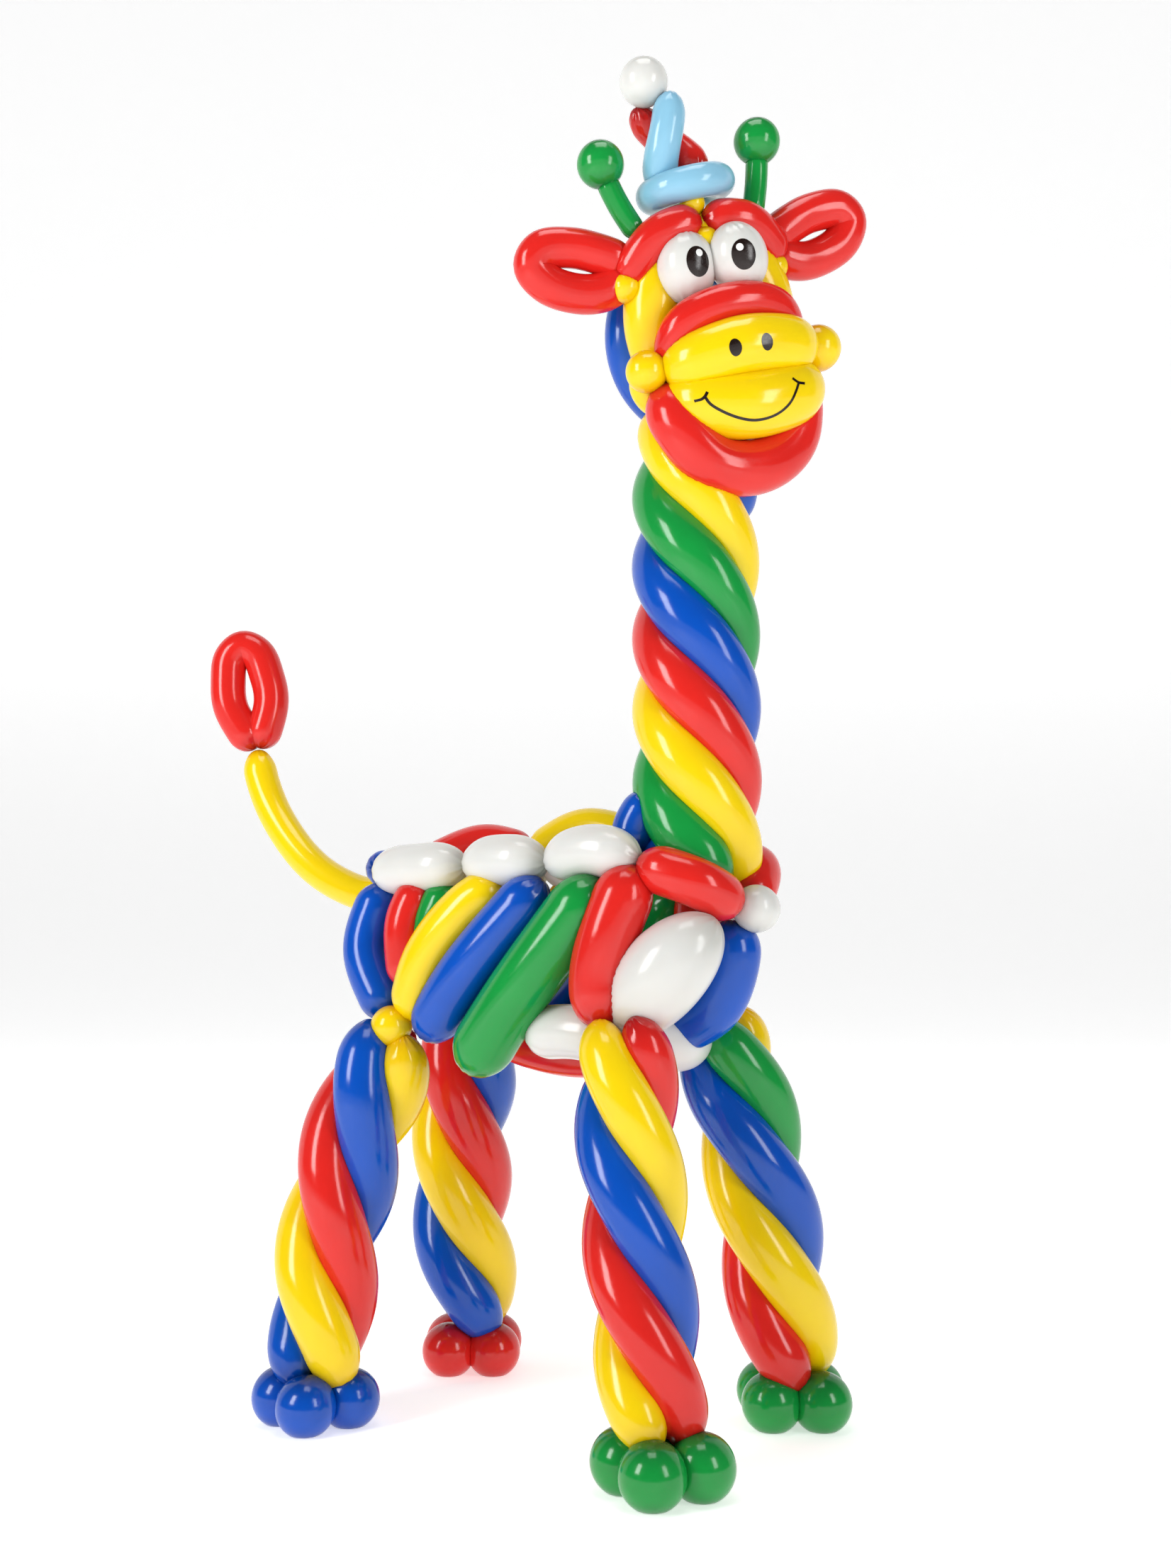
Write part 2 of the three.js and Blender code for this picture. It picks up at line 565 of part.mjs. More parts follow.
// Body: mirrored on both sides, apart from what runs across
function addBody() {
  const waist = (RAIL_Z + BELLY_Z) / 2 - WAIST_DROP;
  const underRail = RAIL_Z - 28;
  balloon('chest_ball_white', 'white', body, [ball([CHEST_X, 0, CHEST_Z], CHEST_BALL)]);
  for (const side of [RIGHT, LEFT]) {
    const at = (x, y, z) => [x, side * y, z];
    balloon(`back_rail_${sideName(side)}_white`, 'white', body, [bubble([
      [at(RAIL_REAR, RAIL_Y, RAIL_Z - 6), at((RAIL_REAR + RAIL_TWIST_1) / 2, RAIL_Y + 6, RAIL_Z - 2),
        at(RAIL_TWIST_1, RAIL_Y, RAIL_Z)],
      [at(RAIL_TWIST_1, RAIL_Y, RAIL_Z), at((RAIL_TWIST_1 + RAIL_TWIST_2) / 2, RAIL_Y + 6, RAIL_Z + 6),
        at(RAIL_TWIST_2, RAIL_Y, RAIL_Z)],
      [at(RAIL_TWIST_2, RAIL_Y, RAIL_Z - 4), at((RAIL_TWIST_2 + RAIL_FRONT) / 2, RAIL_Y + 6, RAIL_Z + 16),
        at(RAIL_FRONT, RAIL_Y, RAIL_Z)],
    ], [42, 42, 41], { middle: 1, end: 1.5 })]);
  }
  balloon('back_spine_red', 'red', body, [
    bubble([
      [RAIL_REAR + 18, 0, SPINE_Z - 8], [RAIL_TWIST_1 - 47, 0, SPINE_Z + 24], [RAIL_TWIST_1 + 53, 0, SPINE_Z + 4],
    ], 34),
  ]);
  balloon('back_spine_yellow', 'yellow', body, [
    bubble([
      [RAIL_TWIST_1 + 57, 0, SPINE_Z + 2], [RAIL_TWIST_2 - 1, 0, SPINE_Z + 42], [RAIL_FRONT - 59, 0, SPINE_Z + 18],
    ], 33),
  ]);
  balloon('back_rear_blue', 'blue', body, [
    bubble([
      [RAIL_REAR - 8, 6 - RAIL_Y, RAIL_Z], [RAIL_REAR - 30, 0, RAIL_Z + 8], [RAIL_REAR - 8, RAIL_Y - 6, RAIL_Z],
    ], 32, { middle: 2 }),
  ]);
  for (const side of [RIGHT, LEFT]) {
    const name = sideName(side);
    const at = (x, y, z) => [x, side * y, z];
    const oval = side === RIGHT
      ? bubble([
        at(CHEST_X - 185, RAIL_Y - 10, BELLY_Z + 14),
        at(CHEST_X - 101, RAIL_Y - 3, CHEST_Z - 99),
        at(CHEST_X - 24, RAIL_Y - 30, CHEST_Z - 17),
      ], 66, { sides: 8, end: 3, steps: 3 })
      : bubble([
        at(CHEST_X - 178, RAIL_Y - 11, BELLY_Z - 4),
        at(CHEST_X - 134, RAIL_Y - 9, CHEST_Z - 107),
        at(CHEST_X - 88, RAIL_Y - 37, CHEST_Z - 5),
      ], 56, { sides: 8, end: 3, steps: 3 });
    balloon(`chest_oval_${name}_white`, 'white', body, [oval]);
    const collarLift = side === RIGHT ? 0 : 32;
    balloon(`collar_and_shoulder_${name}_red`, 'red', body, [bubble([
      [at(CHEST_X - 26, 16, CHEST_Z + 2), at(CHEST_X - 48, 92, CHEST_Z + 35 + collarLift),
        at(RAIL_FRONT - 6, RAIL_Y, RAIL_Z - 4)],
      [at(RAIL_FRONT - 6, RAIL_Y, RAIL_Z - 8), at(RAIL_FRONT - 41, RAIL_Y + 23, waist + 56),
        at(RAIL_FRONT - 59, RAIL_Y + 23, waist - 18), at(RAIL_FRONT - 49, RAIL_Y + 21, BELLY_Z + 14)],
    ], [38, 47], { middle: 2, end: 1.3 })]);
    balloon(`flank_${name}_blue`, 'blue', body, [
      bubble([
        at(HIP_X + 98, RAIL_Y + 23, BELLY_Z - 6),
        at(RAIL_TWIST_1 + 39, RAIL_Y + 41, waist),
        at(RAIL_TWIST_2 + 5, RAIL_Y + 13, underRail),
      ], THICK + 5, { middle: 2, end: 1.3 }),
    ]);
    balloon(`flank_${name}_green`, 'green', body, [
      bubble([
        at(RAIL_TWIST_1 + 27, RAIL_Y + 23, BELLY_Z - 56),
        at(RAIL_TWIST_2 - 23, RAIL_Y + 39, waist - 34),
        at(RAIL_FRONT - 63, RAIL_Y + 13, underRail),
      ], THICK + 12, { middle: 2, end: 1.3 }),
    ]);
    balloon(`flank_${name}_yellow`, 'yellow', body, [
      ball(at(HIP_X + 49, FLANK_Y, BELLY_Z + 12), 34),
      bubble([
        at(HIP_X + 72, RAIL_Y + 27, BELLY_Z + 22),
        at(RAIL_TWIST_1 - 43, RAIL_Y + 37, waist + 18),
        at(RAIL_TWIST_1 + 19, RAIL_Y + 25, RAIL_Z - 74),
        at(RAIL_TWIST_2 - 79, RAIL_Y - 3, underRail),
      ], THICK + 3, { middle: 2 }),
    ]);
    balloon(`rear_${name}_red`, 'red', body, [
      bubble([
        at(RAIL_REAR + 106, RAIL_Y + 3, RAIL_Z - 24),
        at(RAIL_REAR + 84, RAIL_Y + 23, RAIL_Z - 90),
        at(RAIL_REAR + 88, RAIL_Y + 19, BELLY_Z + 72),
      ], THICK - 3, { middle: 2 }),
    ]);
    balloon(`rear_${name}_blue`, 'blue', body, [
      bubble([
        at(RAIL_REAR + 14, RAIL_Y - 7, RAIL_Z - 24),
        at(RAIL_REAR - 9, RAIL_Y + 13, waist + 31),
        at(RAIL_REAR + 50, RAIL_Y + 17, BELLY_Z + 22),
      ], THICK + 1, { middle: 2 }),
    ]);
    balloon(`rear_${name}_green`, 'green', body, [
      bubble([
        at(RAIL_TWIST_1 - 25, RAIL_Y - 3, underRail),
        at(RAIL_TWIST_1 - 55, RAIL_Y + 7, RAIL_Z - 90),
        at(RAIL_TWIST_1 - 63, RAIL_Y + 3, waist - 14),
      ], THICK - 3, { middle: 2 }),
    ]);
  }
  balloon('chest_blue', 'blue', body, [
    bubble([
      [CHEST_X - 42, 0, CHEST_Z - 19],
      [CHEST_X - 40, 0, CHEST_Z - 79],
      [CHEST_X - 72, 0, BELLY_Z + 50],
      [RAIL_FRONT - 26, 0, BELLY_Z + 4],
    ], 44, { middle: 2 }),
  ]);
  const under = (side, x, y, drop) => [x, side * y, BELLY_Z - drop];
  const bellyY = RAIL_Y - 3;
  balloon('belly_white', 'white', body, [bubble([
    [under(RIGHT, RAIL_TWIST_2 - 31, bellyY, -4), under(RIGHT, RAIL_TWIST_2 + 53, bellyY + 8, -10),
      under(RIGHT, RAIL_FRONT - 43, bellyY, 0)],
    [under(RIGHT, RAIL_FRONT - 43, bellyY, 0), under(LEFT, RAIL_FRONT - 3, 0, 12),
      under(LEFT, RAIL_FRONT - 43, bellyY, 0)],
    [under(LEFT, RAIL_FRONT - 43, bellyY, 0), under(LEFT, RAIL_TWIST_2 + 53, bellyY + 8, -10),
      under(LEFT, RAIL_TWIST_2 - 31, bellyY, -4)],
  ], 42, { middle: 1 })]);
  balloon('belly_red', 'red', body, [
    bubble([
      [HIP_X + 37, 40, BELLY_Z + 32],
      [RAIL_TWIST_1 - 17, 50, BELLY_Z - 18],
      [RAIL_TWIST_2 - 57, 55, BELLY_Z - 40],
      [RAIL_FRONT - 101, 50, BELLY_Z - 26],
    ], 35, { middle: 2 }),
  ]);
}

// The tail's shape: shares of the way back and of the way up from its root to its tip
const TAIL_SHAPE = [[0, 0], [0.18, -0.015], [0.44, 0.09], [0.64, 0.25], [0.85, 0.54], [0.96, 0.8], [1, 1]];

function addTail() {
  const reach = TUFT_WIDTH / 2 - TUFT_RADIUS;
  balloon('tail_tuft_red', 'red', tuft, [LEFT, RIGHT].map((side) => bubble([
    [side * 4, 0, 2],
    [side * reach, 0, TUFT_HEIGHT * 0.38],
    [side * reach * 0.95, 0, TUFT_HEIGHT * 0.65],
    [side * reach * 0.55, 0, TUFT_HEIGHT * 0.88],
    [side * 8, 0, TUFT_HEIGHT],
  ], TUFT_RADIUS, { sides: 8, middle: 3 })));
  const rootX = RAIL_REAR - 48;
  const rootZ = RAIL_Z - 34;
  const path = TAIL_SHAPE.map(([back, up]) => [
    rootX + (TAIL_TIP[0] - rootX) * back,
    TAIL_TIP[1] * back,
    rootZ + (TAIL_TIP[2] - rootZ) * up,
  ]);
  balloon('tail_yellow', 'yellow', body, [bubble(path, TAIL_RADIUS, { middle: 8, end: 1.5 })]);
}

addHat();
addFace();
addHorns();
addTail();
addBody();
LEGS.forEach(addLeg);
addNeck();

// Joining and cutting, on solids in the figure's own frame
function toSolid(geometry) {
  return new wasm.Manifold(new wasm.Mesh({
    numProp: 3,
    vertProperties: Float32Array.from(geometry.attributes.position.array),
    triVerts: Uint32Array.from(geometry.index.array),
  }));
}

function join(forms, matrix, swell) {
  const solids = forms.map((form) => toSolid(form(swell).applyMatrix4(matrix)));
  return solids.reduce((whole, next) => whole.add(next));
}

function boxesMeet(a, b) {
  return [0, 1, 2].every((n) => a.min[n] < b.max[n] && b.min[n] < a.max[n]);
}

function toGeometry(solid) {
  const mesh = solid.getMesh();
  const geometry = new THREE.BufferGeometry();
  geometry.setAttribute('position', new THREE.BufferAttribute(mesh.vertProperties, 3));
  geometry.setIndex(new THREE.BufferAttribute(mesh.triVerts, 1));
  return geometry;
}

// Each balloon gives way to those before it, and keeps a small clearance to them
const placed = [];
for (const { name, colour, frame, forms, rope } of balloons) {
  let solid = join(forms, frame.matrixWorld, 0);
  for (const other of placed) {
    const sameRope = rope !== null && rope === other.rope;
    if (!sameRope && boxesMeet(solid.boundingBox(), other.box)) {
      solid = solid.subtract(other.swollen);
    }
  }
  const pieces = solid.decompose().sort((a, b) => b.volume() - a.volume());
  const swollen = join(forms, frame.matrixWorld, CLEARANCE);
  placed.push({ swollen, box: swollen.boundingBox(), rope });
  const geometry = toGeometry(pieces[0].simplify(SMOOTHING));
  geometry.applyMatrix4(frame.matrixWorld.clone().invert());
  geometry.computeVertexNormals();
  const material = new THREE.MeshStandardMaterial({ color: COLOURS[colour], roughness: 0.25, metalness: 0 });
  const mesh = new THREE.Mesh(geometry, material);
  mesh.name = name;
  frame.add(mesh);
}

// The origin is on the floor, under the middle of the figure's box
const box = new THREE.Box3().setFromObject(giraffe, true);
const middle = box.getCenter(new THREE.Vector3());
giraffe.position.set(-middle.x, -middle.y, 0);
giraffe.updateMatrixWorld(true);

export default giraffe;
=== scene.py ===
import math
import bpy
import numpy as np
from mathutils import Matrix, Vector
from mathutils.bvhtree import BVHTree


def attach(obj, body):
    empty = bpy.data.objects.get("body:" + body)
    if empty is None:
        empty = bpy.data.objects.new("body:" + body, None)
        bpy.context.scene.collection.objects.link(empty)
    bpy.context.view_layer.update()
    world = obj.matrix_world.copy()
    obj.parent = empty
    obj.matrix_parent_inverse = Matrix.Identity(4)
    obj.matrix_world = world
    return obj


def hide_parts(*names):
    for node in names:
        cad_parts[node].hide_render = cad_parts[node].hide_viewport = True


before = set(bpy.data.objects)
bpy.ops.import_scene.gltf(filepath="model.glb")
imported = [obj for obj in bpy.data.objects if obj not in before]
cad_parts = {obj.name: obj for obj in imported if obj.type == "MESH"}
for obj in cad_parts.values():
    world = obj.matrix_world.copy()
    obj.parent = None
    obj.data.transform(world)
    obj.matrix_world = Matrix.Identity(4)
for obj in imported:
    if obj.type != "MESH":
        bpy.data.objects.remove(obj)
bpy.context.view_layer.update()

# Sizes and places are in millimetres, with +X to the chest and +Y to the giraffe's own left.
# The origin of those places is on the floor, in the middle between the four feet.
MM = 0.001
RIGHT = -1
LEFT = 1
SIDE_NAMES = {RIGHT: "right", LEFT: "left"}

THICK = 38
THIN = 25
FACE_STEP = 4
FACE_SIDES = 56

STANCE_LENGTH = 640
STANCE_WIDTH = 420
FOOT_BALL = 48
FOOT_SPREAD = 56
SOLE_ANGLE = 30

LEG_RADIUS = 88
LEG_SLIM_ANKLE = 0.1
LEG_SLIM_HIP = 0.16
LEG_BALLOON = 46
LEG_BOTTOM = 60
LEG_TOP = 650
HIP_X = -262
SHOULDER_X = 222
LEG_TOP_WIDTH = 290

RAIL_Z = 890
RAIL_REAR = -288
RAIL_TWIST_1 = -99
RAIL_TWIST_2 = 61
RAIL_FRONT = 231
RAIL_Y = 115
BELLY_Z = 618
CHEST_X = 369
CHEST_Z = 816
CHEST_BALL = 37
SPINE_Z = 910
FLANK_Y = 162

NECK_X = 267
NECK_RADIUS = 102
NECK_BALLOON = 45
NECK_TURN_LENGTH = 464
NECK_PHASE = 71
NECK_SLIM_TOP = 0.14
NECK_CHANGE = 0.76
NECK_BOTTOM = 846
NECK_TOP = 1625

HEAD_PLACE = (296, -15, 1773)
HEAD_TURN = -41
HEAD_NOD = 15
HEAD_TILT = 15
FACE_RADIUS = 97
EYE_WIDTH = 94
EYE_HEIGHT = 110
EYE_SPACING = 79
EYE_Z = 68
EAR_REACH = 299
EAR_RADIUS = 31
MUZZLE_WIDTH = 220
HORN_BALL = 37
HORN_STEM = 18

BRIM_Z = 191
BRIM_RADIUS = 54
HAT_RADIUS = 60
HAT_BALLOON = 29
HAT_BALL = 38
HAT_LEAN = 2
HAT_PHASE = 250
HAT_TURN_LENGTH = 280
HAT_TAPER = 0.14
HAT_TIP_BACK = 3
HAT_TOP = (0, -25, 140)

TAIL_TIP = (-681, 0, 1132)
TAIL_RADIUS = 31
# The tail's shape: shares of the way back and of the way up from its root to its tip
TAIL_SHAPE = [(0, 0), (0.18, -0.015), (0.44, 0.09), (0.64, 0.25), (0.85, 0.54), (0.96, 0.8), (1, 1)]
TUFT_HEIGHT = 232
TUFT_WIDTH = 143
TUFT_RADIUS = 33
TUFT_TURN = 33
TUFT_LEAN = 9

# How far two balloons may run into each other: at the edge of their contact, and where they are pressed flat
CREASE = 2.5
PRESSED = 0.4
PRESS_ROUNDS = 11
# The points of a worked-out line between two places, and along a whole strand
LINE_STEPS = 40
STRAND_STEPS = 900
# Half of the short way along a line over which its direction is read
READING = 2
# The pleats of the latex round a twist: how many, how deep as a share of the radius, and how far they run
PLEATS = 11
PLEAT_DEPTH = 0.22
PLEAT_LENGTH = 9


def standing_place():
    """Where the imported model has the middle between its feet, from the flat spots that it stands on."""
    soles = set()
    for name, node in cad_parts.items():
        if name.startswith("foot_"):
            soles |= {tuple(round(c, 5) for c in v.co) for v in node.data.vertices if v.co.z < 0.5 * MM}
    places = np.array(sorted(soles))
    return np.array([places[:, 0].mean(), places[:, 1].mean(), 0.0])


STANDS_AT = standing_place()


def turned(x=0, y=0, z=0):
    """Turned about X, then Y, then Z, by degrees."""
    about = [Matrix.Rotation(math.radians(a), 3, axis) for a, axis in ((z, "Z"), (y, "Y"), (x, "X"))]
    return np.array(about[0] @ about[1] @ about[2])


BODY = (np.identity(3), np.zeros(3))
HEAD = (turned(HEAD_TILT, HEAD_NOD, HEAD_TURN), np.array(HEAD_PLACE, float))
HAT = (HEAD[0] @ turned(HAT_LEAN, -HAT_TIP_BACK), HEAD[1] + HEAD[0] @ np.array([0, 0, BRIM_Z]))
TUFT = (turned(y=-TUFT_LEAN, z=TUFT_TURN), np.array(TAIL_TIP, float))


# Lines that the balloons follow

def smooth_line(places, closed=False):
    """Close points along a centripetal Catmull-Rom line through the places."""
    points = [np.array(p, float) for p in places]
    if closed:
        points = [points[-1]] + points + points[:2]
    elif len(points) == 2:
        return np.linspace(points[0], points[1], LINE_STEPS)
    else:
        points = [2 * points[0] - points[1]] + points + [2 * points[-1] - points[-2]]
    line = []
    for a, b, c, d in zip(points, points[1:], points[2:], points[3:]):
        gaps = [max(np.linalg.norm(q - p), 1e-6) ** 0.5 for p, q in ((a, b), (b, c), (c, d))]
        leave = ((b - a) / gaps[0] - (c - a) / (gaps[0] + gaps[1]) + (c - b) / gaps[1]) * gaps[1]
        arrive = ((c - b) / gaps[1] - (d - b) / (gaps[1] + gaps[2]) + (d - c) / gaps[2]) * gaps[1]
        t = np.linspace(0, 1, LINE_STEPS, endpoint=False)[:, None]
        cubic = 2 * b - 2 * c + leave + arrive
        square = -3 * b + 3 * c - 2 * leave - arrive
        line.append(cubic * t ** 3 + square * t ** 2 + leave * t + b)
    if not closed:
        line.append(points[-2][None])
    return np.concatenate(line)


def lengths_along(line):
    """The length from the line's start to each of its points."""
    return np.concatenate([[0], np.cumsum(np.linalg.norm(np.diff(line, axis=0), axis=1))])


def at_lengths(line, lengths):
    """The places on the line at those lengths from its start."""
    total = lengths_along(line)
    return np.stack([np.interp(lengths, total, line[:, n]) for n in range(3)], axis=1)


def directions(line, closed=False):
    """The line's own direction at each of its points."""
    if closed:
        along = np.roll(line, -1, axis=0) - np.roll(line, 1, axis=0)
    else:
        along = np.gradient(line, axis=0)
    return along / np.linalg.norm(along, axis=1)[:, None]


def direction_at(line, stations):
    """The line's direction at those lengths from its start, read over a short way."""
    length = lengths_along(line)[-1]
    ahead = at_lengths(line, np.clip(stations + READING, 0, length))
    along = ahead - at_lengths(line, np.clip(stations - READING, 0, length))
    return along / np.linalg.norm(along, axis=1)[:, None]


def carried_across(along, first):
    """A direction across the line that turns no more than the line does."""
    across = np.zeros_like(along)
    direction = np.array(first, float)
    for n, forward in enumerate(along):
        direction = direction - direction.dot(forward) * forward
        direction /= np.linalg.norm(direction)
        across[n] = direction
    return across


# Balloons

balloons = []


def add_balloon(piece, centres, across, along, radii, field, pleats=None, closed=False):
    """Keeps a balloon as spokes round its middle line, with the balls that fill it."""
    up = np.cross(along, across)
    angles = np.linspace(0, 2 * math.pi, FACE_SIDES, endpoint=False)
    spokes = across[:, None] * np.cos(angles)[None, :, None] + up[:, None] * np.sin(angles)[None, :, None]
    reach = np.repeat(radii[:, None], FACE_SIDES, axis=1)
    if pleats is not None:
        folds = 0.5 + 0.5 * np.cos(PLEATS * angles)
        reach = reach * (1 - PLEAT_DEPTH * pleats[:, None] * folds[None])
    balloons.append({
        "piece": piece, "centres": centres, "spokes": spokes, "reach": reach, "field": field,
        "closed": closed, "fullness": radii / radii.max(),
    })


def rounded_ends(length, radius, end):
    """Stations along a bubble and its radius at each: a quarter ellipse at both ends."""
    cap = min(radius * end, length / 2)
    turns = np.linspace(0, math.pi / 2, max(5, round(cap * 1.4 / FACE_STEP) + 2))
    stations = cap * (1 - np.cos(turns))
    radii = radius * np.sin(turns)
    count = max(2, math.ceil((length - 2 * cap) / FACE_STEP))
    middle = np.linspace(cap, length - cap, count + 1)[1:-1]
    stations = np.concatenate([stations, middle, length - stations[::-1]])
    radii = np.concatenate([radii, np.full(len(middle), radius), radii[::-1]])
    keep = np.concatenate([[True], np.diff(stations) > 1e-6])
    return stations[keep], radii[keep], cap


def filling_balls(line, length, radius, cap, slim=None):
    """The balls that fill a bubble, which its neighbours are pressed against."""
    middle = np.linspace(cap, length - cap, max(2, math.ceil((length - 2 * cap) / 4)))
    places = [middle]
    sizes = [np.full(len(middle), radius)]
    if cap > radius * 1.02:
        share = 1 - (radius / cap) ** 2
        out = np.linspace(0.05, 1, 12) * cap
        inner = out * share
        size = radius * np.sqrt(np.maximum(0, 1 - inner ** 2 / (cap ** 2 - radius ** 2)))
        places += [cap - inner, length - cap + inner]
        sizes += [size, size]
    places = np.concatenate(places)
    sizes = np.concatenate(sizes)
    if slim is not None:
        sizes = sizes * slim(places / length)
    return np.column_stack([at_lengths(line, places), sizes])


def bubble(piece, places, radius, end=1.15, held=BODY):
    """One bubble of a balloon, twisted off at both ends."""
    line = smooth_line(places) @ held[0].T + held[1]
    length = lengths_along(line)[-1]
    stations, radii, cap = rounded_ends(length, radius, end)
    centres = at_lengths(line, stations)
    along = direction_at(line, stations)
    first = (0, 0, 1) if abs(along[0][2]) < 0.7 else (1, 0, 0)
    across = carried_across(along, first)
    from_end = np.minimum(stations, length - stations)
    add_balloon(piece, centres, across, along, radii, filling_balls(line, length, radius, cap),
                np.exp(-from_end / PLEAT_LENGTH))


def chain(piece, runs, radii, end=1.15, held=BODY):
    """Several bubbles of one balloon in a row."""
    sizes = radii if isinstance(radii, (list, tuple)) else [radii] * len(runs)
    for run, radius in zip(runs, sizes):
        bubble(piece, run, radius, end=end, held=held)


def ball(piece, place, radius, held=BODY, sole=False):
    """A round bubble, pleated at both its twists, and flat underneath where the giraffe stands on it."""
    centre = held[0] @ np.array(place, float) + held[1]
    upright = held[0] @ np.array([0, 0, 1.0])
    across = held[0] @ np.array([1.0, 0, 0])
    turns = np.linspace(0, math.pi, round(radius * 3.2 / FACE_STEP) + 2)
    heights = -radius * np.cos(turns)
    radii = radius * np.sin(turns)
    if sole:
        heights = np.maximum(heights, -radius * math.cos(math.radians(SOLE_ANGLE)))
    centres = centre + heights[:, None] * upright
    count = len(turns)
    pleats = np.exp(-radius * np.minimum(turns, math.pi - turns) / PLEAT_LENGTH)
    add_balloon(piece, centres, np.repeat(across[None], count, 0), np.repeat(upright[None], count, 0), radii,
                np.array([[*centre, radius]]), pleats)


def ring(piece, place, half_width, half_height, radius, held=BODY, lying=False):
    """A balloon closed into a ring, upright across the face or lying as a brim."""
    around = math.ceil(2 * math.pi * max(half_width, half_height) / FACE_STEP)
    angles = np.linspace(0, 2 * math.pi, around, endpoint=False)
    a = half_width * np.cos(angles)
    b = half_height * np.sin(angles)
    none = np.zeros_like(a)
    local = np.stack([-b, a, none] if lying else [none, a, b], axis=1) + np.array(place, float)
    line = local @ held[0].T + held[1]
    along = directions(line, closed=True)
    flat = held[0] @ (np.array([0, 0, 1.0]) if lying else np.array([1.0, 0, 0]))
    across = np.repeat(flat[None], around, 0)
    add_balloon(piece, line, across, along, np.full(around, float(radius)),
                np.column_stack([line, np.full(around, radius)]), closed=True)


def strand(piece, rope, number, start=0.0, stop=1.0, end=1.5):
    """One of the balloons that are twisted round each other into a leg, the neck or the hat's cone."""
    line = rope["line"]
    total = lengths_along(line)[-1]
    heights = np.linspace(start * total, stop * total, STRAND_STEPS)
    centre = at_lengths(line, heights)
    along = directions(centre)
    across = carried_across(along, rope["front"])
    up = np.cross(along, across)
    turn = rope["phase"] + number * 360 / rope["count"] + rope["handed"] * 360 * heights / rope["turn_length"]
    turn = np.radians(turn)[:, None]
    outward = across * np.cos(turn) + up * np.sin(turn)
    path = centre + outward * (rope["radius"] - rope["balloon"]) * rope["slim"](heights / total)[:, None]
    length = lengths_along(path)[-1]
    radius = rope["balloon"]
    stations, radii, cap = rounded_ends(length, radius, end)
    centres = at_lengths(path, stations)
    share = stations / length
    steps = np.linspace(0, 1, STRAND_STEPS)
    spine = np.stack([np.interp(share, steps, outward[:, n]) for n in range(3)], axis=1)
    forward = direction_at(path, stations)
    across = spine - (spine * forward).sum(1)[:, None] * forward
    across /= np.linalg.norm(across, axis=1)[:, None]

    def slim(part):
        return rope["slim"](start + (stop - start) * part)
    radii = radii * slim(share)
    field = filling_balls(path, length, radius, cap, slim)
    from_end = np.minimum(stations, length - stations)
    add_balloon(piece, centres, across, forward, radii, field, np.exp(-from_end / PLEAT_LENGTH))


def slimmer(bottom, top):
    """A rope's width along its length: drawn in towards its bottom and its top."""
    def slim(share):
        drawn_in = bottom * np.maximum(0, 1 - share / 0.3) ** 2
        return 1 - drawn_in - top * np.maximum(0, (share - 0.75) / 0.25) ** 2
    return slim


# The giraffe's balloons, from the hat down

# The cheek balls, the balls at the ears' roots and the forelock: each one's place and radius
FACE_BALLS = [((80, -140, -77), 33), ((80, 149, -88), 37), ((28, -134, 56), 24), ((28, 118, 50), 22),
              ((58, -3, 101), 24), ((34, -5, 164), 20)]


def add_hat():
    """The hat: a brim, a cone of two balloons twisted round each other, and a bobble."""
    turn, place = HAT
    line = smooth_line([(0, -5, 10), HAT_TOP]) @ turn.T + place
    cone = {"line": line, "front": turn @ np.array([1.0, 0, 0]), "count": 2,
            "radius": HAT_RADIUS, "balloon": HAT_BALLOON, "turn_length": HAT_TURN_LENGTH, "phase": HAT_PHASE,
            "handed": 1, "slim": lambda share: 1 - HAT_TAPER * share}
    ball("hat_ball_white", (0, HAT_TOP[1] - 6, HAT_TOP[2] + HAT_BALL - 9), HAT_BALL, held=HAT)
    ring("hat_light_blue", (0, 0, 0), BRIM_RADIUS, BRIM_RADIUS, THIN + 1, held=HAT, lying=True)
    strand("hat_light_blue", cone, 0, end=1.3)
    strand("hat_cone_red", cone, 1, end=1.3)


def add_face():
    """The face ring with what is knotted on it: brow, forelock, eyes, ears, cheek balls and ear roots."""
    ring("face_yellow", (18, 0, -14), FACE_RADIUS, FACE_RADIUS + 24, THICK + 8, held=HEAD)
    ring("head_back_blue", (-58, 0, -38), 118, 126, THICK, held=HEAD)
    bubble("face_yellow", [(34, -124, -66), (36, -126, -104), (38, -98, -140)], 30, held=HEAD)
    for place, radius in FACE_BALLS:
        ball("face_yellow", place, radius, held=HEAD)
    chain("brow_and_ears_red", [
        [(14, -136, 62), (48, -72, 124), (46, 0, 136)],
        [(46, 0, 136), (48, 72, 124), (14, 136, 62)],
    ], 31, held=HEAD)
    for side in (RIGHT, LEFT):
        add_eye(side)
        add_ear(side)


def add_muzzle():
    """The two lips one over the other, the red bubble over them and the chin under them."""
    half = MUZZLE_WIDTH / 2
    near = half * 0.7
    bubble("muzzle_yellow", [
        (64, 8 - half, -84), (112, 8 - near, -76), (134, 5, -66), (112, 8 + near, -76), (64, 8 + half, -84),
    ], 47, end=1.5, held=HEAD)
    bubble("muzzle_yellow", [
        (60, 6 - half, -112), (108, 8 - near, -138), (132, 0, -153), (106, 6 + near, -146),
        (58, 6 + half, -130),
    ], 54, end=1.5, held=HEAD)
    bubble("muzzle_top_red", [
        (66, -104, -80), (100, -74, -18), (112, 6, 2), (98, 78, -16), (62, 112, -74),
    ], 31, end=1.6, held=HEAD)
    bubble("chin_red", [
        (56, -112, -104), (104, -110, -164), (124, -74, -230), (118, -14, -250), (102, 42, -242),
        (86, 82, -212), (56, 116, -112),
    ], 44, end=1.6, held=HEAD)


